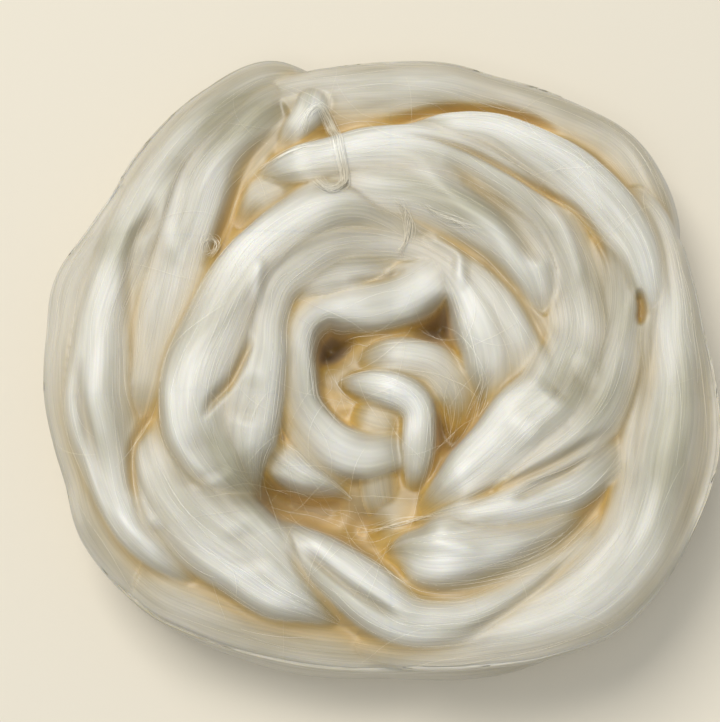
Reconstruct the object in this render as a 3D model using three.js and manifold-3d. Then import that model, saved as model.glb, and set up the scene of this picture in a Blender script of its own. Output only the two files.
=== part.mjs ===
// Raw silk fibre: one long combed sliver of silk wound by hand into a loose flat coil.
// Millimetres, +Z up, the coil lying on its flat side with z = 0 at the surface it rests on.
import * as THREE from "three";
import { mergeVertices } from "three/addons/utils/BufferGeometryUtils.js";
import Module from "manifold-3d";

// Where the eye of the winding lies from the middle of the coil
const EYE = { x: 3.2, y: -20.1 };

// The packed lower turns and the hollow at the eye
const BED_TOP = 35;
const EYE_BOWL = { radius: 41, floor: 15 };
const REST_CUT = 4; // the underside is pressed flat by this much

// The outermost lower turn
const LOWER_TURN = { width: 33, crown: 30 };

// How deep a length of sliver is sunk, and how far it presses into its neighbours
const OUTER_SET = { foot: 20, press: 9 };
const EYE_SET = { foot: 9, press: 3 };

// Shape of a section: a rounded crown over a straighter foot
const CAP_SHARE = 0.34; // height of the rounded crown for each millimetre of width
const FOOT_SQUARENESS = 0.55;
const END_SHARPNESS = 4; // higher closes an end over a shorter length

// Fineness of a length of sliver
const AROUND = 10;
const RING_STEP = 12;

// Route of the outermost lower turn. Columns: bearing about the eye, radius from the eye.
const LOWER_TURN_ROUTE = [
  [0, 109], [30, 114], [60, 131], [90, 126], [120, 132], [150, 121],
  [180, 113], [210, 110], [240, 94], [270, 87], [300, 96], [330, 108],
];

// Each length of sliver that shows on top, a row for each section along it.
// Columns: bearing about the eye (degrees from +X), radius from the eye, width, height of its crown.
const OUTER_LOCKS = {
  far_outer_turn: [
    [122, 132, 14, 37], [106, 130, 22, 40], [84, 129, 24, 41], [72, 129, 24, 41],
    [60, 132, 24, 41], [50, 135, 24, 41], [42, 131, 22, 41], [34, 125, 18, 40],
    [24, 119, 12, 38],
  ],
  far_small_lock: [
    [104, 140, 9, 41], [104, 132, 13, 44], [105, 121, 11, 45], [105, 111, 6, 43],
  ],
  top_left_sheet: [
    [109, 144, 18, 40], [114, 137, 30, 45], [124, 125, 34, 48], [136, 117, 33, 49],
    [148, 113, 26, 48], [158, 111, 16, 46], [168, 111, 8, 43],
  ],
  left_outer_edge: [
    [120, 137, 10, 40], [138, 131, 10, 44], [150, 129, 12, 46], [159, 130, 14, 46],
    [168, 126, 12, 45], [178, 123, 8, 43], [186, 122, 7, 42], [194, 119, 9, 41],
    [204, 119, 11, 40], [216, 114, 14, 38], [228, 105, 14, 36],
  ],
  front_outer_edge: [
    [200, 119, 8, 37], [216, 113, 14, 37], [228, 104, 17, 37], [250, 92, 18, 35],
    [272, 89, 18, 34], [290, 94, 16, 33], [306, 102, 12, 32],
  ],
  left_diamond: [
    [163, 118, 5, 45], [171, 113, 14, 48], [180, 112, 21, 50], [186, 110, 21, 50],
    [192, 109, 16, 49], [200, 109, 13, 48], [208, 108, 10, 47], [217, 104, 7, 45],
    [226, 100, 4, 43],
  ],
  left_inner_streak: [
    [131, 112, 10, 45], [139, 108, 17, 47], [149, 103, 21, 48], [159, 99, 21, 48],
    [170, 96, 18, 47], [179, 93, 13, 45], [188, 91, 6, 42],
  ],
  lower_left_lobe: [
    [189, 92, 8, 44], [196, 92, 19, 49], [204, 90, 26, 52], [213, 86, 32, 53],
    [223, 83, 33, 53], [233, 82, 29, 52], [243, 84, 22, 50], [253, 87, 15, 48],
    [262, 90, 8, 45],
  ],
  pocket_floor: [
    [222, 58, 10, 34], [238, 58, 16, 37], [254, 58, 18, 38], [268, 56, 14, 37],
    [278, 52, 8, 34],
  ],
  front_fork_upper: [
    [226, 62, 5, 45], [236, 63, 8, 47], [247, 63, 9, 48], [257, 66, 9, 48],
    [266, 72, 8, 48], [274, 80, 6, 46], [280, 85, 4, 44],
  ],
  front_fork_left: [
    [229, 67, 5, 46], [240, 69, 9, 48], [250, 73, 12, 49], [260, 79, 12, 49],
    [268, 84, 12, 49], [276, 88, 10, 48], [284, 90, 6, 46],
  ],
  front_fork_right: [
    [270, 90, 7, 45], [279, 91, 11, 48], [291, 91, 12, 48], [304, 92, 11, 48],
    [316, 93, 10, 48], [326, 95, 9, 47], [336, 98, 5, 44],
  ],
  right_outer_band: [
    [48, 131, 7, 41], [34, 126, 10, 47], [22, 118, 12, 50], [12, 114, 15, 52],
    [4, 112, 20, 53], [-4, 110, 27, 54], [-12, 109, 32, 54], [-21, 109, 29, 53],
    [-32, 109, 26, 53], [-44, 107, 26, 52], [-56, 102, 21, 49], [-68, 97, 14, 46],
    [-80, 94, 10, 43], [-90, 93, 8, 40],
  ],
  top_right_ridge: [
    [97, 112, 4, 46], [88, 114, 8, 49], [78, 117, 13, 52], [69, 119, 17, 53],
    [60, 120, 20, 54], [50, 120, 21, 54], [41, 120, 19, 54], [33, 118, 16, 53],
    [25, 113, 13, 52], [15, 108, 11, 50], [5, 104, 6, 47],
  ],
  right_narrow_band: [
    [44, 112, 6, 48], [37, 110, 10, 51], [30, 106, 11, 53], [24, 101, 12, 53],
    [16, 94, 12, 53], [8, 88, 12, 52], [0, 84, 9, 50],
  ],
  top_band_outer: [
    [137, 97, 6, 44], [128, 100, 13, 48], [118, 101, 18, 51], [108, 99, 18, 52],
    [96, 100, 17, 52], [86, 102, 17, 52], [74, 101, 18, 52], [62, 100, 18, 52],
    [52, 99, 18, 51], [43, 99, 16, 51], [35, 97, 12, 50], [28, 93, 6, 46],
  ],
  top_band_middle: [
    [98, 94, 6, 48], [86, 94, 10, 50], [74, 91, 12, 50], [62, 89, 13, 50],
    [52, 87, 14, 50], [43, 86, 15, 50], [34, 85, 17, 50], [24, 84, 18, 51],
    [14, 82, 18, 51], [5, 79, 13, 48],
  ],
  top_band_inner: [
    [116, 91, 10, 48], [105, 90, 14, 51], [94, 87, 16, 53], [82, 85, 17, 54],
    [70, 82, 18, 54], [55, 79, 18, 54], [42, 75, 16, 53], [32, 71, 12, 50],
    [22, 68, 6, 45],
  ],
  right_tongue: [
    [26, 88, 12, 48], [14, 83, 23, 54], [4, 75, 29, 56], [-6, 67, 31, 57],
    [-17, 57, 30, 58], [-28, 50, 28, 57], [-40, 46, 24, 54], [-52, 45, 18, 51],
    [-64, 45, 12, 48], [-76, 46, 7, 45], [-86, 47, 4, 42],
  ],
  front_tongue: [
    [-10, 91, 5, 47], [-15, 88, 12, 50], [-20, 86, 16, 52], [-27, 81, 20, 53],
    [-34, 76, 22, 53], [-42, 72, 21, 52], [-50, 70, 16, 50], [-58, 69, 8, 46],
  ],
  front_ball: [
    [-52, 70, 12, 48], [-60, 66, 20, 52], [-67, 63, 24, 54], [-75, 62, 26, 54],
    [-83, 62, 23, 53], [-89, 60, 15, 50], [-94, 59, 6, 46],
  ],
  left_crescent_outer: [
    [93, 80, 8, 48], [103, 81, 14, 51], [115, 81, 17, 53], [131, 80, 20, 54],
    [147, 76, 24, 55], [162, 73, 27, 56], [173, 75, 23, 56], [184, 77, 18, 55],
    [194, 72, 14, 53], [204, 67, 8, 50], [212, 64, 4, 47],
  ],
  left_crescent_inner: [
    [88, 62, 10, 48], [98, 65, 15, 51], [113, 68, 17, 53], [127, 68, 16, 53],
    [141, 61, 16, 53], [155, 55, 14, 53], [166, 54, 15, 54], [178, 58, 19, 54],
    [190, 61, 21, 54], [201, 62, 18, 53], [210, 63, 11, 51], [218, 64, 5, 47],
  ],
  left_crescent_fold: [
    [84, 54, 8, 45], [96, 55, 10, 47], [112, 59, 10, 48], [126, 63, 9, 47],
    [136, 62, 5, 44],
  ],
  inner_right_outer: [
    [92, 63, 10, 46], [82, 64, 14, 49], [71, 63, 17, 50], [58, 64, 18, 51],
    [44, 63, 18, 51], [29, 60, 18, 50], [16, 58, 19, 50], [4, 55, 18, 48],
    [-8, 54, 10, 44],
  ],
};

// The lengths round the eye, in the same columns
const EYE_LOCKS = {
  inner_right_inner: [
    [68, 56, 6, 45], [57, 51, 11, 48], [45, 47, 13, 49], [31, 45, 14, 49],
    [15, 42, 14, 48], [0, 40, 13, 46], [-14, 36, 8, 42],
  ],
  horn_ridge: [
    [66, 55, 6, 46], [67, 48, 9, 48], [68, 41, 9, 47], [69, 34, 8, 44],
    [71, 28, 4, 40],
  ],
  inner_left_turn: [
    [74, 39, 6, 42], [84, 38, 12, 45], [98, 39, 14, 46], [112, 42, 14, 47],
    [126, 47, 15, 48], [137, 46, 15, 48], [150, 41, 14, 48], [169, 35, 14, 47],
    [188, 31, 15, 46], [208, 27, 18, 45], [230, 22, 17, 43], [252, 18, 15, 41],
    [275, 15, 8, 38],
  ],
  eye_under_lobe: [
    [196, 37, 5, 36], [208, 35, 7, 38], [222, 34, 8, 39], [239, 32, 9, 39],
    [255, 28, 8, 38], [272, 25, 5, 35],
  ],
  leaf_lock: [
    [193, 47, 6, 40], [202, 48, 9, 43], [211, 48, 10, 44], [221, 46, 9, 44],
    [234, 43, 8, 43], [246, 42, 5, 42], [255, 43, 2, 40],
  ],
  hook_top: [
    [156, 26, 8, 41], [148, 22, 12, 45], [125, 10, 14, 48], [30, 11, 14, 49],
    [12, 15, 8, 47],
  ],
  hook_stem: [
    [50, 9, 8, 46], [-10, 12, 14, 49], [-51, 21, 14, 48], [-64, 32, 13, 47],
    [-70, 39, 8, 44],
  ],
  eye_arch: [
    [146, 30, 6, 36], [141, 28, 9, 39], [122, 24, 12, 41], [104, 22, 13, 42],
    [78, 22, 13, 43], [54, 24, 14, 43], [34, 27, 14, 43], [13, 28, 14, 42],
    [-3, 28, 13, 40], [-15, 28, 9, 36],
  ],
  front_streak: [
    [262, 30, 4, 34], [266, 35, 8, 37], [268, 42, 9, 38], [268, 48, 6, 36],
  ],
};

// A point in plan at a bearing and radius about the eye
function aboutEye(bearing, radius) {
  const angle = THREE.MathUtils.degToRad(bearing);
  return new THREE.Vector3(EYE.x + radius * Math.cos(angle), EYE.y + radius * Math.sin(angle), 0);
}

// A point to one side of a route, at a level
function beside(route, along, across, level) {
  const ahead = route.getTangent(along);
  return route.getPoint(along).add(new THREE.Vector3(ahead.y * across, -ahead.x * across, level));
}

// Signed power, for rounding a section towards a square
const soften = (value, power) => Math.sign(value) * Math.abs(value) ** power;

// One point of a section: how far it lies to the side, and its level
function sectionPoint(turn, width, crown, foot) {
  const cap = Math.min(CAP_SHARE * width, (crown - foot) / 2);
  const shoulder = crown - cap;
  const side = Math.cos(turn);
  const lift = Math.sin(turn);
  const onCrown = lift >= 0;
  return {
    across: (width / 2) * (onCrown ? side : soften(side, FOOT_SQUARENESS)),
    level: shoulder + (onCrown ? cap : shoulder - foot) * lift,
  };
}

// One length of sliver: a sphere's rings moved onto sections along its route, its poles the two ends
function lockGeometry(rows, { foot, press }) {
  const route = new THREE.CatmullRomCurve3(rows.map(([bearing, radius]) => aboutEye(bearing, radius)));
  const sizes = new THREE.CatmullRomCurve3(
    rows.map(([, , width, crown]) => new THREE.Vector3(width + press, crown, 0)),
  );
  const rings = Math.max(6, Math.round(route.getLength() / RING_STEP));
  const lock = new THREE.SphereGeometry(1, AROUND, rings);
  const place = lock.getAttribute("position");
  const uv = lock.getAttribute("uv");
  for (let i = 0; i < place.count; i += 1) {
    const along = 1 - uv.getY(i);
    const { x: width, y: crown } = sizes.getPoint(along);
    const { across, level } = sectionPoint(2 * Math.PI * uv.getX(i), width, crown, foot);
    const close = Math.sqrt(Math.max(0, 1 - Math.abs(2 * along - 1) ** END_SHARPNESS));
    const core = (crown + foot) / 2;
    place.setXYZ(i, ...beside(route, along, across * close, core + (level - core) * close));
  }
  return lock;
}

const lowerRoute = new THREE.CatmullRomCurve3(
  LOWER_TURN_ROUTE.map(([bearing, radius]) => aboutEye(bearing, radius)),
  true,
);

// The outermost lower turn: a torus moved onto its route
function lowerTurnGeometry() {
  const rings = Math.round(lowerRoute.getLength() / (1.3 * RING_STEP));
  const turn = new THREE.TorusGeometry(1, 0.5, AROUND, rings);
  const place = turn.getAttribute("position");
  const uv = turn.getAttribute("uv");
  const halfHeight = (LOWER_TURN.crown + REST_CUT) / 2;
  for (let i = 0; i < place.count; i += 1) {
    const angle = 2 * Math.PI * uv.getY(i);
    const across = (LOWER_TURN.width / 2) * Math.cos(angle);
    const level = LOWER_TURN.crown - halfHeight + halfHeight * Math.sin(angle);
    place.setXYZ(i, ...beside(lowerRoute, uv.getX(i) % 1, across, level));
  }
  return turn;
}

// The packed lower turns inside the outermost one, finished plainly as a bed out to its middle
function bedGeometry() {
  const profile = [[0, -REST_CUT], [1, -REST_CUT], [1, BED_TOP - 6], [0.9, BED_TOP], [0, BED_TOP]];
  const points = profile.map(([share, level]) => new THREE.Vector2(share, level));
  const bed = new THREE.LatheGeometry(points, 4 * AROUND);
  const place = bed.getAttribute("position");
  const uv = bed.getAttribute("uv");
  for (let i = 0; i < place.count; i += 1) {
    const share = Math.hypot(place.getX(i), place.getZ(i));
    const rim = lowerRoute.getPoint(uv.getX(i) % 1);
    place.setXYZ(i, EYE.x + (rim.x - EYE.x) * share, EYE.y + (rim.y - EYE.y) * share, place.getY(i));
  }
  return bed;
}

// The hollow of the eye
function bowlGeometry() {
  const depth = BED_TOP - EYE_BOWL.floor + 2;
  const bowl = new THREE.SphereGeometry(1, 2 * AROUND, AROUND);
  bowl.scale(EYE_BOWL.radius, EYE_BOWL.radius, depth);
  return bowl.translate(EYE.x, EYE.y, EYE_BOWL.floor + depth);
}

const wasm = await Module();
wasm.setup();

// A three.js geometry as a closed solid that can be joined and cut
function toSolid(geometry) {
  geometry.deleteAttribute("normal");
  geometry.deleteAttribute("uv");
  const merged = mergeVertices(geometry, 1e-4);
  return new wasm.Manifold(new wasm.Mesh({
    numProp: 3,
    vertProperties: new Float32Array(merged.getAttribute("position").array),
    triVerts: new Uint32Array(merged.getIndex().array),
  }));
}

// A solid as a three.js geometry
function toGeometry(solid) {
  const mesh = solid.getMesh();
  const geometry = new THREE.BufferGeometry();
  geometry.setAttribute("position", new THREE.BufferAttribute(mesh.vertProperties, 3));
  geometry.setIndex(new THREE.BufferAttribute(mesh.triVerts, 1));
  geometry.computeVertexNormals();
  return geometry;
}

// The largest outer skin of a solid, which fills any pocket sealed inside it
function outerSkin(solid) {
  return solid.decompose().reduce((best, piece) => (piece.volume() > best.volume() ? piece : best));
}

// The whole coil: bed and hollow, the outermost lower turn, then every length that shows
function coilSolid() {
  const pieces = [
    lowerTurnGeometry(),
    ...Object.values(OUTER_LOCKS).map((rows) => lockGeometry(rows, OUTER_SET)),
    ...Object.values(EYE_LOCKS).map((rows) => lockGeometry(rows, EYE_SET)),
  ];
  const bed = toSolid(bedGeometry()).subtract(toSolid(bowlGeometry()));
  const wound = pieces.reduce((coil, piece) => coil.add(toSolid(piece)), bed);
  const below = new THREE.BoxGeometry(400, 400, 40).translate(0, 0, -20);
  return outerSkin(wound.subtract(toSolid(below)));
}

const silk = new THREE.MeshStandardMaterial({ color: 0xe6e1d2, roughness: 0.5, metalness: 0 });
const coil = new THREE.Mesh(toGeometry(coilSolid()), silk);
coil.name = "silk_coil";

const group = new THREE.Group();
group.add(coil);

export default group;
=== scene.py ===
"""Raw silk fibre: one long combed sliver of silk wound by hand into a loose flat coil."""

import math
from collections import namedtuple
from itertools import product

import bpy
import numpy as np
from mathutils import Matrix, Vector
from mathutils.bvhtree import BVHTree


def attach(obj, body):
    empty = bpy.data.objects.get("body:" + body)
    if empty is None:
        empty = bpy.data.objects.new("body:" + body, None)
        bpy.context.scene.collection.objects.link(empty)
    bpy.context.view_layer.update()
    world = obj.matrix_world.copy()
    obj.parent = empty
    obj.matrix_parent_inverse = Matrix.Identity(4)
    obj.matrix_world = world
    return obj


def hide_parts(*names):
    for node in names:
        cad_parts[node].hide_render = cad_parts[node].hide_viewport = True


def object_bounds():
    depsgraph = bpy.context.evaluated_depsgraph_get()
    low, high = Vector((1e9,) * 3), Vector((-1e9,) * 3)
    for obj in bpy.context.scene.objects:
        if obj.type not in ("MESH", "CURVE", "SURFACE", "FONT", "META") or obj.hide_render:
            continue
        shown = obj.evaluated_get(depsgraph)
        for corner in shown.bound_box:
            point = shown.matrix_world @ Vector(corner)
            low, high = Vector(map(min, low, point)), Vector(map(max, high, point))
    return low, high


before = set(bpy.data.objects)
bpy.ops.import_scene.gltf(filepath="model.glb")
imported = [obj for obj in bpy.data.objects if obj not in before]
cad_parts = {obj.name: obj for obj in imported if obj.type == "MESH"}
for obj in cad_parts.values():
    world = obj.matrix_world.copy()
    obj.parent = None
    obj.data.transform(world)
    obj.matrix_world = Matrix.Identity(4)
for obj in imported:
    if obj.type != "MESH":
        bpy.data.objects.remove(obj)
cad_low, cad_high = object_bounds()
rng = np.random.default_rng(11)

MM = 0.001  # the sizes and tables below are in millimetres, the meshes in metres

# Where the eye of the winding lies from the middle of the coil
EYE = (3.2, -20.1)

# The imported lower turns: height of the bed, how much the underside is pressed flat, the outermost turn
BED_TOP = 35
BED_RINGS = {"below": (0.01, 0.97, 12), "above": (0.95, 0.01, 90)}  # shares of the way out, number
REST_CUT = 4
LOWER_TURN = {"width": 33, "crown": 30, "outer_points": 70, "inner_points": 12}

# How deep a length of sliver is sunk, and how far it presses into its neighbours
OUTER_SET = {"foot": 20, "press": 9}
EYE_SET = {"foot": 9, "press": 3}
FULL_PRESS_WIDTH = 16  # a narrower lock presses less

# A section: a rounded crown, its height and arc for each millimetre of width, over a straighter foot
SECTION = {"cap": 0.28, "squareness": 0.55, "arc": 1.25, "least_points": 16, "hidden_points": 4}
TAPER = {"length": 26, "most": 0.45}  # over which an end closes, and the most of a lock that does
DIVE = 9  # how far an end goes down under its neighbours

# Fineness of the skins: along the fibres, across them on the crown, across them on a wall
STATION_STEP = 1.8
CROWN_STEP = 0.45
WALL_STEP = 1.1
LEAST_STATIONS = 12
SAMPLES = 60  # places measured between two rows of a route

# Relief along the fibres: rounded folds, soft waves and streaks. Columns: width, length, height.
ROUND_FOLDS = [(18.0, 100.0, 1.1)]
ROUND_FOLD_LEVEL = 0.7
WAVES_AND_STREAKS = [(15.0, 40.0, 0.55), (3.2, 70.0, 0.13), (1.5, 50.0, 0.06)]
RELIEF_SKEW = 0.06
FULL_FOLD_WIDTH = 22  # a narrower lock has lower folds
# Strands that stand out of a lock: the area for each, their sizes, and how they stray and end
STRANDS = {
    "area": 240, "length": (50, 150), "width": (4, 11), "rise": (0.2, 0.65),
    "slant": 0.04, "bow": 1.5, "point": 0.7, "thin": 0.2,
}
WAVE = {"length": 40, "height": 1.8, "drift": 0.8}  # how a lock rises, falls and strays along its route

# The height map of the top: its cell, margin, corners, number of cells, their places, and a level above
MAP_CELL = 0.5
MAP_MARGIN = 20
MAP_LOW = np.array(cad_low.xy) / MM - MAP_MARGIN
MAP_HIGH = np.array(cad_high.xy) / MM + MAP_MARGIN
MAP_SIZE = np.ceil((MAP_HIGH - MAP_LOW) / MAP_CELL).astype(int) + 2
MAP_X, MAP_Y = (low + MAP_CELL * cells for low, cells in zip(MAP_LOW, np.indices(MAP_SIZE)))
FROM_EYE = np.hypot(MAP_X - EYE[0], MAP_Y - EYE[1])
ABOVE_ALL = 90
LEAST_AREA = 0.02  # of a face in plan, where it is read across
MOST_CHANGE = 3  # of the fibre coordinates for each millimetre

# How far the silk eases over the creases and edges between its locks, less at the eye
EASE = {"outer": 1.8, "eye": 1.2, "eye_radius": 34, "blend": 12, "top": 0.8}
GROOVE = {"width": 6, "fill": 0.65, "eye_fill": 0.2}  # a groove narrower than this is mostly filled

# The outer walls: they begin where the top falls below the level, outside the radius, have less relief
# where they are steep, and are free outside the rim but sunk under the lowest silk near by inside it
WALL = {
    "level": 28, "radius": 78, "slope": 1.4, "least_relief": 0.3,
    "free": 60, "fade": 5, "sink": 2.0, "roof": 2,
}
# The rim, where the draped top begins: how far inside the walls, how far it passes under them there,
# and the shares of the way in where it covers them, lies half over them and lies over them wholly
RIM = {"reach": 1.5, "sink": 1.0, "cover": 0.1, "middle": 0.5, "inner": 0.95}

# Route of the outermost lower turn. Columns: bearing about the eye, radius from the eye.
LOWER_TURN_ROUTE = [
    (0, 109), (30, 114), (60, 131), (90, 126), (120, 132), (150, 121),
    (180, 113), (210, 110), (240, 94), (270, 87), (300, 96), (330, 108),
]

# Pits in the bed. Columns: bearing about the eye, radius from the eye, width, depth.
PITS = [
    (132, 37, 17, 24), (59, 43, 17, 22), (-22, 29, 12, 18), (-135, 52, 17, 10), (-120, 48, 18, 10),
    (-102, 50, 14, 10),
]

# Each length of sliver that shows on top, a row for each section along it.
# Columns: bearing about the eye (degrees from +X), radius from the eye, width, height of its crown.
OUTER_LOCKS = {
    "far_outer_turn": [
        (122, 132, 14, 37), (106, 130, 22, 40), (84, 129, 24, 41), (72, 129, 24, 41), (60, 132, 24, 41),
        (50, 135, 24, 41), (42, 131, 22, 41), (34, 125, 18, 40), (24, 119, 12, 38),
    ],
    "far_small_lock": [
        (101, 141, 8.1, 38), (103, 132, 9.7, 43), (105, 124, 8.8, 45), (109, 118, 6.8, 45),
        (112, 115, 4.8, 43), (117, 113, 2.8, 40),
    ],
    "left_sheet_inner": [
        (100, 134, 9.8, 32), (105, 134, 16, 37), (110, 132, 19, 41), (116, 127, 22, 44),
        (127, 118, 21, 47), (136, 107, 20, 48), (146, 99, 19, 48), (158, 93, 19, 48), (169, 91, 15, 47),
        (178, 92, 13, 47), (185, 95, 9.2, 46), (191, 100, 4.6, 43),
    ],
    "left_sheet_outer": [
        (100, 142, 9.9, 28), (105, 142, 15, 34), (111, 142, 18, 38), (117, 138, 20, 42),
        (125, 133, 21, 45), (135, 127, 21, 47), (145, 122, 19, 48), (155, 118, 16, 48),
        (164, 116, 15, 48), (172, 113, 16, 49), (180, 112, 19, 50), (186, 110, 20, 50),
        (192, 109, 16, 49), (200, 109, 12, 48), (208, 108, 9.4, 47), (217, 104, 6.7, 45),
        (226, 100, 3.7, 43),
    ],
    "left_outer_edge": [
        (120, 137, 10, 40), (138, 131, 9.9, 44), (150, 129, 12, 46), (159, 130, 14, 46),
        (168, 126, 13, 45), (178, 124, 12, 44), (186, 122, 11, 43), (194, 119, 12, 42),
        (204, 119, 13, 41), (216, 114, 13, 36.5), (228, 105, 13, 31),
    ],
    "front_outer_edge": [
        (200, 119, 8, 37), (216, 113, 14, 37), (228, 104, 17, 37), (250, 92, 18, 35), (272, 89, 18, 34),
        (290, 94, 16, 33), (306, 102, 12, 32),
    ],
    "lower_left_lobe": [
        (176, 86, 5.4, 42), (182, 88, 13, 45), (189, 89, 21, 48), (197, 87, 29, 51), (207, 85, 30, 52),
        (218, 82, 29, 52), (229, 80, 25, 52), (240, 81, 20, 50), (250, 83, 12, 48), (258, 87, 6.7, 44),
    ],
    "pocket_floor": [
        (-150, 68, 9.3, 29), (-143, 61, 16, 27), (-134, 54, 21, 26), (-120, 49, 22, 25),
        (-103, 54, 19, 26), (-90, 64, 11, 29), (-84, 71, 4.6, 30),
    ],
    "front_strand": [
        (-137, 64, 3.8, 42), (-126, 64, 8.3, 46), (-115, 66, 12, 49), (-103, 70, 14, 50),
        (-93, 77, 15, 50), (-85, 83, 14, 49), (-77, 86, 13, 49), (-70, 88, 12, 49), (-61, 88, 11, 49),
        (-52, 89, 10, 49), (-42, 90, 9.7, 48), (-32, 92, 7.5, 47), (-23, 95, 3.8, 44),
    ],
    "right_outer_band": [
        (48, 131, 7.2, 41), (34, 126, 9.8, 47), (22, 117, 14, 50), (12, 110, 21, 52), (4, 109, 24, 53),
        (-4, 108, 29, 54), (-12, 107, 32, 54), (-21, 108, 28, 53), (-32, 109, 24, 53),
        (-44, 107, 24, 52), (-56, 102, 19, 49), (-68, 96, 16, 46), (-82, 93, 13, 41), (-96, 91, 9.7, 35),
        (-110, 90, 6.8, 29),
    ],
    "top_right_ridge": [
        (89, 111, 3.2, 46), (83, 114, 6.4, 49), (76, 115, 9.5, 52), (69, 117, 12, 53), (61, 116, 15, 54),
        (53, 116, 17, 54), (45, 115, 17, 54), (38, 114, 15, 53), (31, 112.5, 12, 53),
        (24, 109.5, 9.5, 52), (17, 107, 6.9, 50), (10, 104, 3.9, 47),
    ],
    "under_layer": [
        (134, 92, 4, 39), (129, 94, 8.7, 41), (123, 96, 13, 42), (116, 95, 13, 43), (109, 95, 10, 44),
        (103, 96, 5.6, 44),
    ],
    "band_to_tongue": [
        (122, 108, 3.2, 41), (118, 105, 7.1, 46), (112, 102, 11, 50), (104, 100, 13, 51),
        (95, 100, 17, 52), (85, 100, 20, 52), (74, 99, 22, 52), (62, 96, 23, 52), (51, 93, 23, 51),
        (39, 88, 22, 51), (28, 83, 21, 51), (18, 78, 21, 52), (9, 71, 23, 54), (-2, 63, 23, 56),
        (-12, 54, 23, 57), (-25, 48, 20, 56), (-41, 44, 17, 53), (-56, 43, 12, 50), (-71, 44, 8, 42),
        (-83, 46, 6, 33),
    ],
    "narrow_to_tongue": [
        (47, 115, 4, 45), (40, 110, 9.4, 49), (32, 105, 12, 50), (24, 99, 12, 50), (16, 92, 13, 51),
        (9, 86, 16, 53), (-1, 79, 19, 54.5), (-11, 71, 19, 55.5), (-20, 63, 18, 55), (-31, 56, 15, 53),
        (-42, 52, 12, 50), (-55, 49, 7.9, 47), (-67, 48, 3.8, 44),
    ],
    "top_band_inner": [
        (120, 96, 5, 40), (111, 94, 9, 46), (102, 91, 13, 50), (94, 87, 16, 53), (82, 85, 17, 54),
        (70, 82, 18, 54), (55, 79, 18, 54), (42, 75, 16, 53), (32, 71, 12, 50), (22, 68, 7, 45),
        (14, 66, 4, 40),
    ],
    "front_tongue": [
        (-2, 99, 4.6, 38), (-8, 94, 7.6, 46), (-14, 87, 11, 51), (-19, 82, 12, 53), (-26, 76, 13, 54),
        (-33, 69, 12, 54), (-42, 63, 10, 54), (-52, 57, 8.2, 53), (-62, 52, 6, 51), (-73, 49, 4.5, 46),
        (-83, 48, 4, 39),
    ],
    "front_ball": [
        (-20, 90, 3.8, 42), (-27, 87, 6.8, 46), (-35, 83, 9.7, 49), (-43, 79, 13, 51), (-51, 74, 16, 53),
        (-59, 69, 19, 54), (-68, 65, 20, 55), (-77, 62, 19, 54), (-84, 59, 14, 51), (-90, 58, 9, 46),
        (-93, 57, 7, 38),
    ],
    "inner_turn_outer": [
        (-140, 65, 3.8, 47), (-146, 66, 9.8, 51), (-155, 69, 15, 54), (-166, 72, 19, 56),
        (-176, 73, 20, 57), (-188, 72, 22, 57), (-201, 71, 21, 56), (-214, 73, 19, 54),
        (-227, 76, 17, 53), (-240, 78, 16, 52), (-252, 80, 16, 51), (-262, 78, 13, 49),
        (-271, 73, 12, 47), (-280, 67, 13, 47), (-292, 63, 15, 48), (-306, 60, 16, 50),
        (-322, 56, 17, 51), (-339, 55, 17, 51), (-353, 53, 15, 49), (-365, 50, 8.8, 45),
        (-374, 47, 4.6, 41),
    ],
    "inner_turn_inner": [
        (-141, 63, 3.8, 46), (-148, 62, 9, 50), (-158, 60, 15, 53), (-169, 56, 18, 54),
        (-183, 53, 17, 54), (-199, 53, 14, 54), (-212, 58, 13, 53), (-225, 64, 14, 53),
        (-237, 66, 16, 52), (-250, 67, 15, 50), (-262, 65, 13, 48), (-274, 63, 10, 47),
        (-284, 61, 9.4, 47), (-294, 58, 9.4, 48), (-306, 53, 12, 49), (-319, 48, 15, 50),
        (-334, 45, 16, 50), (-349, 42, 15, 49), (-364, 39, 11, 46), (-375, 36, 5.4, 41),
    ],
    "inner_turn_fold": [
        (143, 53, 3.9, 46), (135, 55, 7, 48), (126, 57, 9.3, 48), (115, 56, 12, 48), (105, 54, 11, 48),
        (94, 54, 8.6, 47), (86, 57, 5.5, 46), (81, 64, 3.1, 43),
    ],
}
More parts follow.
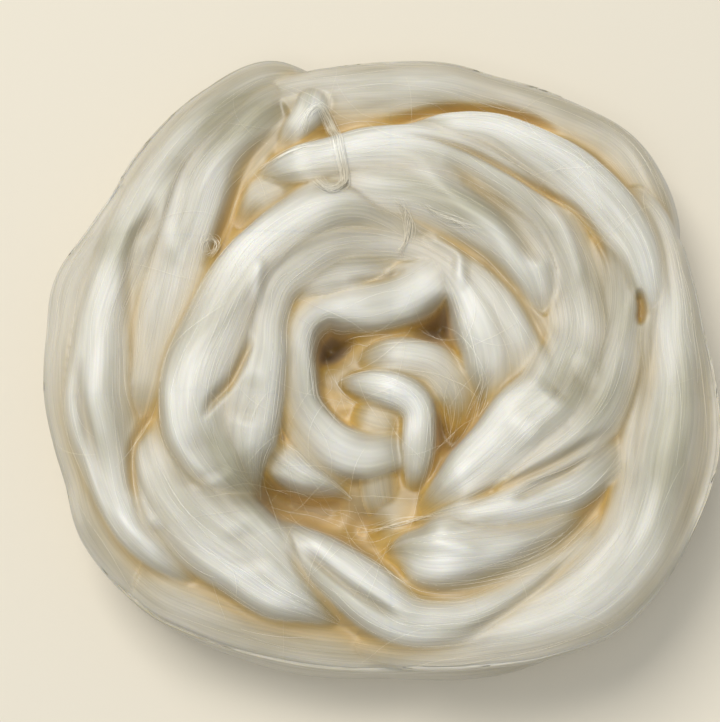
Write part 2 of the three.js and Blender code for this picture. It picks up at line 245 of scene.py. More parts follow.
EYE_LOCKS = {
    "hook": [
        (155, 21.8, 6.2, 44), (151, 16.3, 11, 46), (134, 8.4, 12, 47), (53, 4.3, 12, 48),
        (2, 8.7, 12, 48), (-25, 13.4, 11, 48), (-49, 18.4, 11, 48), (-63, 25.4, 11, 47),
        (-71, 32, 10, 46), (-75, 37, 8, 41), (-76, 40, 6, 33),
    ],
    "eye_arch": [
        (143, 22, 8, 28), (129, 20.3, 12, 39), (103, 17.6, 16, 43.5), (67, 17.9, 17, 44.5),
        (37, 21.9, 18, 44.5), (14, 25, 19, 44.5), (-3, 27, 18, 43), (-19, 27.7, 14, 40),
        (-35, 28.4, 7, 35),
    ],
    "inner_left_turn": [
        (70, 75, 5.5, 44), (69, 66, 12, 47), (70, 56, 17, 48), (79, 46, 21, 47), (96, 41, 21, 46),
        (114, 42, 16, 46), (125, 45, 13, 46), (137, 45, 13, 47), (151, 41, 13, 48), (166, 37, 14, 48),
        (183, 34, 14, 47), (201, 30, 15, 46), (221, 26.9, 16, 46), (244, 23.4, 16, 45),
        (269, 19.6, 14, 44), (296, 18.2, 13, 42), (319, 19.7, 9, 37), (338, 23, 7, 29),
    ],
    "eye_fill": [
        (174, 20, 9, 29), (188, 13.7, 13, 39), (228, 7, 17, 41.5), (300, 8.3, 15, 41.5),
        (323, 14.4, 9.6, 39), (328, 18, 7, 32),
    ],
    "under_tail": [
        (-110, 16.8, 7, 36), (-102, 25.2, 11, 39), (-97, 34, 13, 37), (-93, 42, 12, 34),
        (-91, 52, 9, 28),
    ],
    "leaf_lock": [
        (-169, 50, 4.6, 42), (-160, 50, 9.9, 44), (-150, 47, 13, 45), (-139, 44, 11, 45),
        (-129, 41, 7.6, 44), (-119, 39, 4.2, 42), (-110, 40, 2.3, 40),
    ],
    "eye_under_lobe": [
        (173, 44, 3.8, 46), (184, 41, 6.1, 46), (196, 39, 7.6, 45), (210, 37, 7.6, 43),
        (226, 36, 7.6, 41), (242, 35, 5.7, 40), (254, 35, 2.7, 36),
    ],
}

# Ridges and troughs on the locks: how far each rises or sinks, then a row for each place along it.
# Columns: bearing about the eye, radius from the eye, width.
FOLDS = {
    "sheet_ridge": (1.2, [
        (130, 130, 10), (134, 124, 13), (139, 117, 13), (142, 109, 12), (145, 101, 10), (147, 93, 8),
    ]),
    "horn_fold": (1.6, [(79, 66, 4.7), (74, 66, 5.5), (65, 63, 5.5), (60, 55, 4.7), (55, 49, 3.9)]),
    "sheet_trough": (-1.8, [
        (137, 124, 4.7), (142, 119, 5.6), (147, 118, 5.6), (152, 114, 6.6), (159, 108, 5.6),
        (166, 104, 4.7),
    ]),
    "rim_ridge": (1.2, [(-175, 129, 4.6), (-166, 129, 5.3), (-159, 128, 5.3), (-154, 126, 4.5)]),
    "second_ridge": (1.6, [
        (-175, 115, 4.6), (-168, 115, 4.6), (-159, 114, 4.5), (-153, 111, 4.5), (-148, 107, 4.5),
        (-143, 104, 3.8),
    ]),
    "lobe_left_ridge": (1.6, [(-162, 103, 4.5), (-156, 103, 5.3), (-152, 102, 5.2), (-148, 99, 4.5)]),
    "lobe_dimple_upper": (-1.4, [(-170, 77, 11.8), (-159, 74, 16.9), (-152, 74, 12.7)]),
    "lobe_dimple_lower": (-1.2, [(-139, 74, 12.6), (-132, 78, 16.9), (-126, 85, 14.3)]),
    "crescent_rim": (1.2, [
        (169, 84, 5.3), (177, 84, 6.1), (183, 84, 6), (192, 83, 6), (200, 78, 6), (208, 73, 5.2),
        (215, 69, 4.5),
    ]),
    "crescent_crease": (-2.2, [
        (155, 58, 3.1), (163, 57, 3.4), (175, 60, 3.8), (183, 67, 3.8), (190, 72, 3),
    ]),
    "crescent_hollow": (-1.1, [(170, 49, 8.8), (184, 52, 14.3), (194, 56, 10.8)]),
    "crescent_streak": (1, [(132, 74, 3.9), (138, 68, 4.6), (147, 61, 3.8)]),
    "far_trough": (-4.9, [
        (101, 112, 4), (89, 115, 4.8), (80, 122, 4.8), (71, 128, 4.8), (66, 130, 4.8), (61, 130, 4.8),
        (55, 128, 4),
    ]),
    "band_trough": (-2.6, [(78, 99, 5.5), (70, 93, 7.1), (59, 87, 8.6), (47, 80, 8.6), (40, 77, 5.4)]),
    "band_crest": (1.2, [
        (88, 99, 6.3), (80, 91, 7.1), (71, 82, 7), (58, 76, 7), (44, 70, 6.2), (30, 67, 4.6),
    ]),
    "band_step": (0.8, [(53, 98, 4.7), (45, 96, 5.5), (36, 90, 4.6), (29, 85, 3.9)]),
    "tongue_hollow": (-1.5, [(-3, 60, 11), (3, 67, 15), (7, 79, 13)]),
    "tongue_crest": (0.8, [(-11, 42, 9), (-16, 53, 11), (-20, 60, 9)]),
    "front_tongue_streak": (-1.3, [(-16, 82, 3), (-25, 73, 3.7), (-36, 65, 3.7), (-43, 61, 3)]),
    "ball_streak": (0.8, [(-88, 58, 3.7), (-77, 58, 4.4), (-66, 65, 4.4), (-60, 71, 3)]),
    "fork_ridge": (1.6, [
        (-129, 62, 6), (-118, 63, 8.2), (-104, 68, 9.7), (-91, 76, 9.7), (-81, 87, 8.2),
    ]),
    "fork_line": (-2.2, [
        (-121, 66, 3.4), (-112, 69, 3.7), (-101, 75, 4.1), (-92, 81, 4.1), (-86, 87, 3.3),
    ]),
    "fork_left_line": (-1.4, [(-124, 69, 3), (-116, 75, 3.3), (-108, 81, 3.7), (-101, 88, 3.3)]),
    "ridge_crease": (-2.6, [
        (88, 107, 2.4), (81, 106, 2.6), (72, 104, 2.8), (63, 102, 2.8), (54, 102, 2.8), (46, 104, 2.8),
        (39, 103, 2.8), (32, 100, 2.6), (25, 95, 2.4),
    ]),
    "turn_crease": (-2.2, [
        (88, 66, 3.9), (76, 67, 4.3), (64, 66, 4.7), (51, 65, 4.7), (39, 64, 4.6), (27, 63, 4.6),
        (17, 63, 4.2), (7, 62, 3.8),
    ]),
    "ring_hole": (-4, [(24, 105, 2.4), (20, 104, 3), (16, 100, 2.4)]),
    "tongue_crease": (-2, [
        (-8, 87, 3.8), (-14, 78, 3.8), (-22, 69, 3.8), (-31, 61, 3.7), (-41, 55, 3.7), (-54, 51, 3.7),
        (-67, 49, 3.4),
    ]),
    "ball_crease": (-3, [
        (-20, 92, 5.3), (-28, 88, 6.8), (-38, 86, 7.5), (-48, 82, 8.2), (-58, 80, 8.2), (-69, 78, 7.5),
        (-79, 76, 6.7), (-87, 70, 5.2), (-91, 62, 3.7),
    ]),
    "front_line": (-1.4, [
        (-80, 94, 4.4), (-71, 94, 4.4), (-62, 93, 4.4), (-53, 92, 4.5), (-44, 92, 4.5), (-35, 94, 3.7),
    ]),
    "rim_crease": (-2, [
        (170, 122, 3.9), (178, 119, 4.6), (188, 115, 4.6), (199, 114, 4.5), (207, 112, 4.5),
        (215, 106, 3.8),
    ]),
    "lobe_crease": (-2, [
        (177, 87, 3.5), (185, 92, 3.8), (191, 99, 3.8), (198, 102, 3.8), (206, 104, 3.8),
        (213, 104, 3.4),
    ]),
    "sheet_edge_crease": (-3.5, [
        (109, 122, 4), (115, 118, 5.6), (121, 112, 7.2), (126, 104, 5.6), (133, 96, 4.7), (139, 91, 3.9),
        (145, 90, 3.5),
    ]),
    "turn_fold_crease": (-1.4, [(110, 50, 3.1), (94, 48, 3.5), (81, 53, 3.1)]),
    "right_band_groove": (-1.2, [(20, 109, 3.8), (7, 101, 4.6), (-9, 96, 4.5), (-20, 98, 3.7)]),
    "right_wall_groove": (-4, [
        (12, 125, 13), (4, 124, 16), (-4, 123, 17), (-14, 122, 17), (-22, 122, 15), (-32, 119, 12),
    ]),
}
# The share of a fold over which it fades at each end, places between rows, and widths to its edge
FOLD = {"fade": 0.3, "samples": 12, "edge": 1.5}

# The lengths whose outer wall shows
WALLED = {
    "lower_turn", "bed", "far_outer_turn", "left_sheet_inner", "left_sheet_outer", "left_outer_edge",
    "front_outer_edge", "right_outer_band",
}

# Single fibres along the locks: number, points, radius, length, lift, and where they are left out
FIBRES = {
    "along": 3200, "points": 10, "radius": (0.035, 0.065), "tip": 0.35, "length": (18, 55),
    "lift": (0.01, 0.1), "stray": 1.2, "sunk": 1, "inside": 0.6, "showing": 0.9, "apart": 0.3,
}
# Fibres astray: number, how far round a pit is looked for, its least and most depth, weight elsewhere,
# how far below the bed's top one starts and goes, shares of the length, turns, sag into a pit and lift
ASTRAY = {
    "number": 130, "reach": 4, "ease": 2, "depth": (3, 8), "anywhere": 0.03, "below": (20, 22),
    "share": (0.4, 1), "length": 38.5, "turn": (0.07, 0.06), "sag": (0, 0.7), "lift": (0.1, 0.8),
}
THICK = {"lock": 1, "loose": 0.8, "wisp": 1.4}  # how thick the fibres of each piece are
FAR = 45  # the draped top is cut here and at the eye, to keep its pieces small

# Wisps that show by themselves: how many fibres, then a row for each place.
# Columns: bearing about the eye, radius from the eye, lift off the silk below.
WISPS = {
    "curl": (44, [
        (107, 116, 0.6), (105, 122, 1), (103, 124, 1.2), (102, 120, 1.2), (101, 111, 1), (101, 100, 0.8),
        (101, 92, 0.8), (102, 87, 0.8), (106, 86, 0.8), (108, 91, 0.5),
    ]),
    "top_wisp": (22, [(87, 78, 0.4), (85, 74, 0.6), (84, 69, 0.7), (84, 63, 0.6), (86, 59, 0.4)]),
    "gold_wisp": (12, [(80, 77, 0.4), (75, 75, 0.6), (69, 74, 0.6), (62, 73, 0.4)]),
    "strand_left": (6, [(19, 39, 0.3), (10, 36, 0.4), (1, 33, 0.5), (-11, 31, 0.4)]),
    "strand_right": (6, [(16, 41, 0.3), (7, 38, 0.4), (-2, 36, 0.5), (-12, 34, 0.4)]),
    "small_curl": (14, [
        (141, 93, 0.5), (139, 96, 0.8), (137, 96, 1), (137, 93, 1), (139, 91, 1), (141, 91, 0.5),
    ]),
    "edge_fuzz": (12, [(118, 108, 0.4), (114, 108, 0.6), (109, 107, 0.6), (104, 107, 0.4)]),
    "pocket_fuzz": (8, [(-98, 49, 0.6), (-90, 47, 1), (-79, 46, 1), (-67, 49, 0.5)]),
}
WISP_SPREAD = 1.1  # how far the fibres of a wisp lie apart
WISP_EASE = 2  # a wisp follows the silk below smoothed over this

# Painted shade in the creases and a painted highlight on the crests: how far the sky is looked for, how
# much a hollow takes away and a crest adds, and the outer wall, which is open to the side and so gets
# little painted shade
SKY = {"bearings": 16, "distances": (1.5, 3, 5, 8, 12, 18, 26, 36), "crisp": 0.65, "ease": 0.6}
HOLLOW = {"over": 7, "shade": 0.14, "limit": 4, "crest": 2.5}
RIM_SKY = {"sky": 0.9, "ease": 4, "sharp": 3}
FULL_SKY = 1.3  # the most that a crest takes, for the lightest painted highlight
FIBRE_SKY = 0.8  # a single fibre lets light through, so its painted shade is never as dark as the pit below it

# Patches of painted shade, where the silk is darker. Columns: bearing and radius, reach round the eye and
# across.
SHADE_PATCHES = [
    (3, 74, 15, 15), (-150, 64, 20, 10), (117, 131, 20, 13), (71, 82, 26, 7), (150, 123, 10, 8),
    (-10, 106, 26, 10), (24, 94, 16, 9),
]

# Silk: its colour by the sky that it sees, painted shade in the creases and a painted highlight on the
# crests, its gloss, and the scales of its streaks across and along
SILK_COLOURS_WITH_PAINTED_LIGHT = [
    (0.05, (0.43, 0.265, 0.08)), (0.15, (0.58, 0.36, 0.075)), (0.30, (0.51, 0.335, 0.09)),
    (0.47, (0.50, 0.37, 0.17)), (0.65, (0.52, 0.435, 0.28)), (0.88, (0.545, 0.49, 0.38)),
    (1.05, (0.635, 0.60, 0.505)), (1.25, (0.765, 0.74, 0.665)),
]
SILK_GLOSS = {
    "Roughness": 0.52, "IOR": 1.85, "Specular IOR Level": 0.7, "Anisotropic": 0.75,
    "Sheen Weight": 0.2, "Sheen Roughness": 0.4,
    "Subsurface Radius": (1.0, 0.75, 0.32), "Subsurface Scale": 2.2 * MM,
}
STREAKS = {"tone": (1.3, 0.025, 1), "bump": (2.0, 0.03, 1), "shade_patch": (0.14, 0.022, 1)}
STREAK_TONE = (0.90, 1.07)
# How much the random patches of painted shade darken, and the colour that all patches of painted shade
# multiply the silk by
SHADE_PATCH_SHARE = 0.6
SHADE_PATCH_TINT = (0.63, 0.605, 0.48, 1)
UV_SHIFT = 5000  # each length takes its streaks from another place
FIBRE_UV = (0.1, 2)  # from side to side of a single fibre, and from point to point along it

# Studio. Columns of the lights: place and size in metres, power, colour.
LIGHTS = {
    "key": ((-1.05, 1.3, 2.75), 1.8, 67, (1.0, 0.985, 0.955)),
    "top": ((-0.3, -0.9, 2.6), 1.2, 13, (0.95, 0.98, 1.0)),
}
WORLD = {"Color": (0.89, 0.95, 1.0, 1), "Strength": 0.44}
FLOOR = {"Base Color": (0.79, 0.72, 0.595, 1), "Roughness": 0.9, "Specular IOR Level": 0.1}
FLOOR_HALF = 4.0
FLOOR_LEVEL = -0.0004

# Camera: the photograph's view
CAMERA = {
    "elevation": 75,
    "distance": 720,
    "aim": (1.2, 0.9, 20),
    "aim_pixel": (384, 362.5),
    "focal_pixels": 1800,
}
IMAGE = (720, 722)
SENSOR = 36

# Rings of points round a tube, how far each lies across and along the fibres, and how full its folds are
Skin = namedtuple("Skin", "rings across along closed full")


def spline(knots, at, closed=False):
    """Smooth curve through the rows of knots, at places counted in rows."""
    if closed:
        padded = np.vstack([knots[-1:], knots, knots[:2]])
        last = len(knots) - 1
    else:
        padded = np.vstack([2 * knots[0] - knots[1], knots, 2 * knots[-1] - knots[-2]])
        last = len(knots) - 2
    first = np.clip(at.astype(int), 0, last)
    f = (at - first)[:, None]
    a, b, c, d = (padded[first + k] for k in range(4))
    return b + 0.5 * f * (c - a + f * (2 * a - 5 * b + 4 * c - d + f * (3 * (b - c) + d - a)))


def about_eye(bearing, radius):
    """Plan coordinates of points given by bearing and radius about the eye."""
    angle = np.radians(bearing)
    return EYE[0] + radius * np.cos(angle), EYE[1] + radius * np.sin(angle)


def in_plan(rows):
    """The rows of a table, with plan coordinates in place of bearing and radius about the eye."""
    table = np.array(rows, float)
    return np.column_stack([*about_eye(table[:, 0], table[:, 1]), table[:, 2:]])


def between(grid, i, j, u, v):
    """A grid read between a cell and the next ones each way, at shares u and v of the way."""
    near = grid[i, j] * (1 - u) + grid[i + 1, j] * u
    far = grid[i, j + 1] * (1 - u) + grid[i + 1, j + 1] * u
    return near * (1 - v) + far * v


def unit(vectors):
    """Vectors brought to length 1."""
    return vectors / np.maximum(np.linalg.norm(vectors, axis=-1, keepdims=True), 1e-9)


def stations(knots, closed=False):
    """The rows of knots at even steps along their route, the length so far, and the share of the way."""
    spans = len(knots) if closed else len(knots) - 1
    fine = np.linspace(0, spans, SAMPLES * spans + 1)
    steps = np.diff(spline(knots, fine, closed)[:, :2], axis=0)
    length = np.concatenate([[0], np.cumsum(np.hypot(steps[:, 0], steps[:, 1]))])
    count = max(LEAST_STATIONS, round(length[-1] / STATION_STEP))
    first = 0 if closed else 0.5
    even = (np.arange(count) + first) * length[-1] / count
    place = np.interp(even, length, fine)
    return spline(knots, place, closed), even, place / spans


def smooth_noise(across, along):
    """Soft noise between -1 and 1, at places counted in cells."""
    a = across - across.min()
    b = along - along.min()
    lattice = rng.uniform(-1, 1, (int(a.max()) + 2, int(b.max()) + 2))
    i, j = a.astype(int), b.astype(int)
    u, v = a - i, b - j
    return between(lattice, i, j, u * u * (3 - 2 * u), v * v * (3 - 2 * v))


def normals_of(rings, closed):
    """Outward normals of rings of points."""
    around = np.roll(rings, -1, axis=1) - np.roll(rings, 1, axis=1)
    if closed:
        ahead = np.roll(rings, -1, axis=0) - np.roll(rings, 1, axis=0)
    else:
        ahead = np.gradient(rings, axis=0)
    return unit(np.cross(ahead, around))


def around_length(rings):
    """How far each point of the middle ring lies round it, with the seam's far side last."""
    ring = np.median(rings, axis=0)
    steps = np.linalg.norm(np.diff(np.vstack([ring, ring[:1]]), axis=0), axis=1)
    return np.concatenate([[0], np.cumsum(steps)])


def strand_relief(u, v):
    """A pointed strand that stands a little out of its lock, at places across and along the fibres."""
    long, wide, rise = (rng.uniform(*STRANDS[key]) for key in ("length", "width", "rise"))
    middle = rng.uniform(u.min(), u.max())
    start = rng.uniform(v.min() - long / 2, v.max() - long / 2)
    swell = np.sin(math.pi * np.clip((v - start) / long, 0, 1))
    drift = rng.normal(0, STRANDS["slant"]) * (v - start) + rng.normal(0, STRANDS["bow"]) * swell
    off = (u - middle - drift) / np.maximum(wide / 2 * swell ** STRANDS["point"], STRANDS["thin"])
    return rise * swell * np.maximum(0, 1 - off**2)


def fold_relief(skin):
    """How far the folds and streaks along the fibres stand out of each point of a tube."""
    v = skin.along[:, None]
    u = skin.across[:-1] + rng.uniform(-RELIEF_SKEW, RELIEF_SKEW) * v
    relief = np.zeros(u.shape)
    for wide, long, tall in ROUND_FOLDS:
        relief += tall * (2 * np.abs(smooth_noise(u / wide, v / long)) - ROUND_FOLD_LEVEL)
    for wide, long, tall in WAVES_AND_STREAKS:
        relief += tall * smooth_noise(u / wide, v / long)
    for _ in range(round(skin.along[-1] * skin.across[-1] / STRANDS["area"])):
        relief += strand_relief(u, v)
    return relief * skin.full


def section_turns(width, stem, walled):
    """Angles round a section, fine on the crown and on a wall that shows, starting under it."""
    points = max(SECTION["least_points"], round(SECTION["arc"] * width / CROWN_STEP))
    crown = np.linspace(0, math.pi, points)
    count = round(stem / WALL_STEP) if walled else SECTION["hidden_points"]
    foot = np.linspace(0, math.pi / 2, count, endpoint=False)[1:]
    return np.concatenate([[-math.pi / 2], foot - math.pi / 2, crown, math.pi + foot])


def rings_along(route, ahead, across, level):
    """Rings of points at places across a route and at their levels."""
    x = route[:, :1] + ahead[:, 1:] * across
    y = route[:, 1:2] - ahead[:, :1] * across
    return np.stack([x, y, np.broadcast_to(level, x.shape)], axis=2)


def lock_skin(rows, setting, walled):
    """One length of sliver: sections lofted along its route, closed at both ends."""
    knots = in_plan(rows)
    knots[:, 2] += setting["press"] * np.minimum(1, knots[:, 2] / FULL_PRESS_WIDTH)
    route, along, share = stations(knots)
    width, crown = route[:, 2], route[:, 3]
    zeros = np.zeros_like(along)
    middle = np.sin(math.pi * share)
    crown = crown + WAVE["height"] * middle * smooth_noise(zeros, along / WAVE["length"])
    drift = WAVE["drift"] * middle * smooth_noise(zeros, along / WAVE["length"])

    taper = min(TAPER["length"], TAPER["most"] * along[-1])
    near_end = np.minimum(1, np.minimum(along, along[0] + along[-1] - along) / taper)
    close = np.sqrt(1 - (1 - near_end) ** 2)[:, None]
    foot = setting["foot"]
    turns = section_turns(width.mean(), crown.mean() - foot, walled)
    side, lift = np.cos(turns), np.sin(turns)
    cap = np.minimum(SECTION["cap"] * width, (crown - foot) / 2)[:, None]
    shoulder = crown[:, None] - cap
    square = np.sign(side) * np.abs(side) ** SECTION["squareness"]
    across = width[:, None] / 2 * np.where(lift >= 0, side, square) * close + drift[:, None]
    level = shoulder + np.where(lift >= 0, cap, shoulder - foot) * lift
    level = level - DIVE * (1 - near_end[:, None]) ** 2
    rings = rings_along(route, unit(np.gradient(route[:, :2], axis=0)), across, level)
    full = close * min(1, width.mean() / FULL_FOLD_WIDTH)
    return Skin(rings, around_length(rings), along, closed=False, full=full)


def lower_turn_skin():
    """The outermost lower turn, a closed ring."""
    route, along, _ = stations(in_plan(LOWER_TURN_ROUTE), closed=True)
    ahead = unit(np.roll(route, -1, axis=0) - np.roll(route, 1, axis=0))
    fine = np.linspace(-math.pi / 2, math.pi / 2, LOWER_TURN["outer_points"])
    coarse = np.linspace(math.pi / 2, 1.5 * math.pi, LOWER_TURN["inner_points"])[1:-1]
    turns = np.concatenate([fine, coarse])
    half_height = (LOWER_TURN["crown"] + REST_CUT) / 2
    across = LOWER_TURN["width"] / 2 * np.cos(turns)[None, :]
    level = LOWER_TURN["crown"] - half_height + half_height * np.sin(turns)[None, :]
    rings = rings_along(route, ahead, across, level)
    return Skin(rings, around_length(rings), along, closed=True, full=1)


def bed_skin():
    """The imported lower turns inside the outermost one, with the hollow of the eye."""
    rim, along, _ = stations(in_plan(LOWER_TURN_ROUTE), closed=True)
    reach = np.linalg.norm(rim - np.array(EYE), axis=1, keepdims=True)
    below, above = (np.linspace(*BED_RINGS[side]) for side in ("below", "above"))
    out = np.concatenate([below, above])[None, :] * reach
    ahead = (rim - np.array(EYE)) / reach
    x, y = EYE[0] + ahead[:, :1] * out, EYE[1] + ahead[:, 1:] * out
    top = np.full(out.shape, float(BED_TOP))
    for pit_x, pit_y, width, depth in in_plan(PITS):
        top -= depth * np.exp(-((x - pit_x) ** 2 + (y - pit_y) ** 2) / (width / 2) ** 2)
    level = np.where(np.arange(out.shape[1]) < len(below), 0, top)
    rings = np.stack([x, y, level], axis=2)
    return Skin(rings, around_length(rings), along, closed=True, full=0.5)


def skin_faces(skin, first):
    """The faces round one tube, its points counted from first, a row for each ring."""
    count, around = skin.rings.shape[:2]
    ids = first + np.arange(count * around).reshape(count, around)
    if skin.closed:
        ids = np.vstack([ids, ids[:1]])
    nexts = np.roll(ids, -1, axis=1)
    return np.stack([ids[:-1], ids[1:], nexts[1:], nexts[:-1]], axis=2).reshape(-1, 4)


def top_map(skins):
    """Height of the top of the silk over the plan, 0 where there is none, and the face that lies there."""
    points, faces = [], []
    for skin in skins:
        faces += skin_faces(skin, len(points)).tolist()
        points += skin.rings.reshape(-1, 3).tolist()
    tree = BVHTree.FromPolygons(points, faces)
    down = Vector((0, 0, -1))
    heights = np.zeros(MAP_SIZE)
    top_face = np.zeros(MAP_SIZE, int)
    for cell in np.ndindex(*MAP_SIZE):
        hit, _, face, _ = tree.ray_cast((MAP_X[cell], MAP_Y[cell], ABOVE_ALL), down)
        if hit:
            heights[cell] = hit.z
            top_face[cell] = face
    return heights, top_face


def fibre_plan(skins, reliefs, top_face):
    """Fibre coordinates and relief of each cell of the height map, and how the first two change in plan."""
    corners, values = [], []
    for skin, relief in zip(skins, reliefs):
        points, _, uv = skin_mesh(skin, 0)
        quads = skin_faces(skin, 0)
        corners.append(points[quads][:, [0, 1, 3], :2])
        fibre = uv[:4 * len(quads)].reshape(-1, 4, 2) + rng.uniform(0, UV_SHIFT, 2)
        values.append(np.concatenate([fibre, relief.ravel()[quads][:, :, None]], axis=2)[:, [0, 1, 3]])
    corner = np.concatenate(corners)[top_face]
    value = np.concatenate(values)[top_face]
    (ax, ay), (bx, by) = (np.moveaxis(corner[:, :, k] - corner[:, :, 0], 2, 0)[..., None] for k in (1, 2))
    area = ax * by - ay * bx
    area = np.where(np.abs(area) < LEAST_AREA, LEAST_AREA, area)
    along, across = value[:, :, 1] - value[:, :, 0], value[:, :, 2] - value[:, :, 0]
    by_x = np.clip((by * along - ay * across) / area, -MOST_CHANGE, MOST_CHANGE)
    by_y = np.clip((ax * across - bx * along) / area, -MOST_CHANGE, MOST_CHANGE)
    off_x = MAP_X[:, :, None] - corner[:, :, 0, :1]
    off_y = MAP_Y[:, :, None] - corner[:, :, 0, 1:]
    here = value[:, :, 0] + by_x * off_x + by_y * off_y
    relief = np.clip(here, value.min(axis=2), value.max(axis=2))[..., 2]
    return here[..., :2], by_x[..., :2], by_y[..., :2], relief


def read_map(heights, x, y):
    """A height map read between its cells."""
    a = np.clip((x - MAP_LOW[0]) / MAP_CELL, 0, MAP_SIZE[0] - 1.01)
    b = np.clip((y - MAP_LOW[1]) / MAP_CELL, 0, MAP_SIZE[1] - 1.01)
    i, j = a.astype(int), b.astype(int)
    return between(heights, i, j, a - i, b - j)


def blurred(grid, distance):
    """A map smoothed over a distance."""
    reach = math.ceil(3 * distance / MAP_CELL)
    bell = np.exp(-0.5 * (np.arange(-reach, reach + 1) * MAP_CELL / distance) ** 2)
    for axis in (0, 1):
        grid = np.apply_along_axis(np.convolve, axis, grid, bell / bell.sum(), "same")
    return grid


def within_walls(top):
    """1 on top of the silk, 0 on its outer walls and beside it."""
    return ((top > WALL["level"]) | (FROM_EYE < WALL["radius"])).astype(float)


def inside_rim(top):
    """0 at the outer wall of the silk, rising to 1 a little inside it."""
    return np.clip(2 * blurred(within_walls(top), RIM["reach"]) - 1, 0, 1)


def smoothed_top(top, distance):
    """The top of the silk smoothed over a distance, without its outer walls."""
    within = within_walls(top)
    return blurred(top * within, distance) / np.maximum(blurred(within, distance), 1e-3)


def spread(grid, distance, choose):
    """A map with each cell given the highest or lowest value within a distance."""
    reach = round(distance / MAP_CELL)
    for axis in (0, 1):
        grid = choose([np.roll(grid, shift, axis=axis) for shift in range(-reach, reach + 1)], axis=0)
    return grid


def eased_top(top):
    """The top of the silk, its narrow grooves filled and the edges between its locks softened."""
    half = GROOVE["width"] / 2
    closed = spread(spread(top, half, np.max), half, np.min)
    outer = np.clip((FROM_EYE - EASE["eye_radius"]) / EASE["blend"], 0, 1)
    fill = GROOVE["fill"] * outer + GROOVE["eye_fill"] * (1 - outer)
    filled = top + fill * (closed - top)
    soft = smoothed_top(filled, EASE["outer"]) * outer + smoothed_top(filled, EASE["eye"]) * (1 - outer)
    return np.where(top > 0, soft, 0)


def sky_map(heights):
    """Share of the sky that each cell of the height map sees, less in the hollows and more on crests:
    painted shade and painted highlight.
    """
    reach = math.ceil(max(SKY["distances"]) / MAP_CELL) + 1
    padded = np.pad(heights, reach)
    seen = np.zeros_like(heights)
    for turn in range(SKY["bearings"]):
        angle = 2 * math.pi * turn / SKY["bearings"]
        slope = np.zeros_like(heights)
        for distance in SKY["distances"]:
            i = reach + round(distance * math.cos(angle) / MAP_CELL)
            j = reach + round(distance * math.sin(angle) / MAP_CELL)
            there = padded[i:i + heights.shape[0], j:j + heights.shape[1]]
            slope = np.maximum(slope, (there - heights) / distance)
        seen += (1 - slope / np.sqrt(1 + slope**2)) / SKY["bearings"]
    hollow = np.clip(smoothed_top(heights, HOLLOW["over"]) - heights, -HOLLOW["crest"], HOLLOW["limit"])
    shaded = seen * (1 - HOLLOW["shade"] * hollow)
    within = blurred(within_walls(heights), RIM_SKY["ease"])
    rim = np.clip(RIM_SKY["sharp"] - RIM_SKY["sharp"] * within, 0, 1)
    return shaded + rim * (RIM_SKY["sky"] - shaded)


def fold_change():
    """How far the ridges and troughs of the table lift or sink each cell of the height map."""
    flat = np.column_stack([MAP_X.ravel(), MAP_Y.ravel()])
    change = np.zeros(len(flat))
    for rise, rows in FOLDS.values():
        knots = in_plan(rows)
        at = np.linspace(0, len(knots) - 1, FOLD["samples"] * (len(knots) - 1) + 1)
        route = spline(knots, at)
        edge = route[:, 2].max() * FOLD["edge"]
        low, high = route[:, :2].min(axis=0) - edge, route[:, :2].max(axis=0) + edge
        inside = np.all((flat > low) & (flat < high), axis=1)
        nearest = np.linalg.norm(flat[inside][:, None] - route[None, :, :2], axis=2).argmin(axis=1)
        away = flat[inside] - route[nearest, :2]
        ahead = np.gradient(route[:, :2], axis=0)[nearest]
        slip = np.clip((away * ahead).sum(axis=1) / (ahead**2).sum(axis=1), -1, 1)
        square_gap = ((away - slip[:, None] * ahead) ** 2).sum(axis=1)
        place = np.clip(nearest + slip, 0, len(route) - 1)
        half = np.interp(place, np.arange(len(route)), route[:, 2]) / 2
        from_end = np.minimum(place, len(route) - 1 - place) / (FOLD["fade"] * len(route))
        fade = np.minimum(1, from_end) ** 2 * (3 - 2 * np.minimum(1, from_end))
        change[inside] += rise * np.exp(-square_gap / half**2) * fade
    return change.reshape(MAP_SIZE)


def skin_mesh(skin, first):
    """Points, faces and fibre coordinates of one tube, its points counted from first."""
    count, around = skin.rings.shape[:2]
    points = skin.rings.reshape(-1, 3)
    along = np.append(skin.along, skin.along[-1] + skin.along[1]) if skin.closed else skin.along
    left, right = skin.across[:-1], skin.across[1:]
    u0, u1, v0, v1 = np.broadcast_arrays(left, right, along[:-1, None], along[1:, None])
    uv = np.stack([u0, v0, u0, v1, u1, v1, u1, v0], axis=2).reshape(-1, 2)
    faces = skin_faces(skin, first).tolist()
    if not skin.closed:
        ids = first + np.arange(count * around).reshape(count, around)
        nexts = np.roll(ids, -1, axis=1)
        ends = np.array([skin.rings[0].mean(axis=0), skin.rings[-1].mean(axis=0)])
        points = np.vstack([points, ends])
        pole = first + count * around
        faces += np.column_stack([np.full(around, pole), ids[0], nexts[0]]).tolist()
        faces += np.column_stack([np.full(around, pole + 1), nexts[-1], ids[-1]]).tolist()
        for row, a, b in ((0, left, right), (-1, right, left)):
            v = np.full(around, along[row])
            cap = np.stack([(left + right) / 2, v, a, v, b, v], axis=1)
            uv = np.vstack([uv, cap.reshape(-1, 2)])
    return points, faces, uv


def shade_patch_share(x, y):
    """How much painted shade the patches of the table give at places in plan, between 0 and 1."""
    share = np.zeros_like(x)
    for bearing, radius, round_eye, across in SHADE_PATCHES:
        middle_x, middle_y = about_eye(bearing, radius)
        out_x, out_y = math.cos(math.radians(bearing)), math.sin(math.radians(bearing))
        out = (x - middle_x) * out_x + (y - middle_y) * out_y
        turn = (y - middle_y) * out_x - (x - middle_x) * out_y
        share = np.maximum(share, np.exp(-((out / across) ** 2) - (turn / round_eye) ** 2))
    return share


def placed(name, data):
    """A new object in the scene."""
    thing = bpy.data.objects.new(name, data)
    bpy.context.scene.collection.objects.link(thing)
    return thing


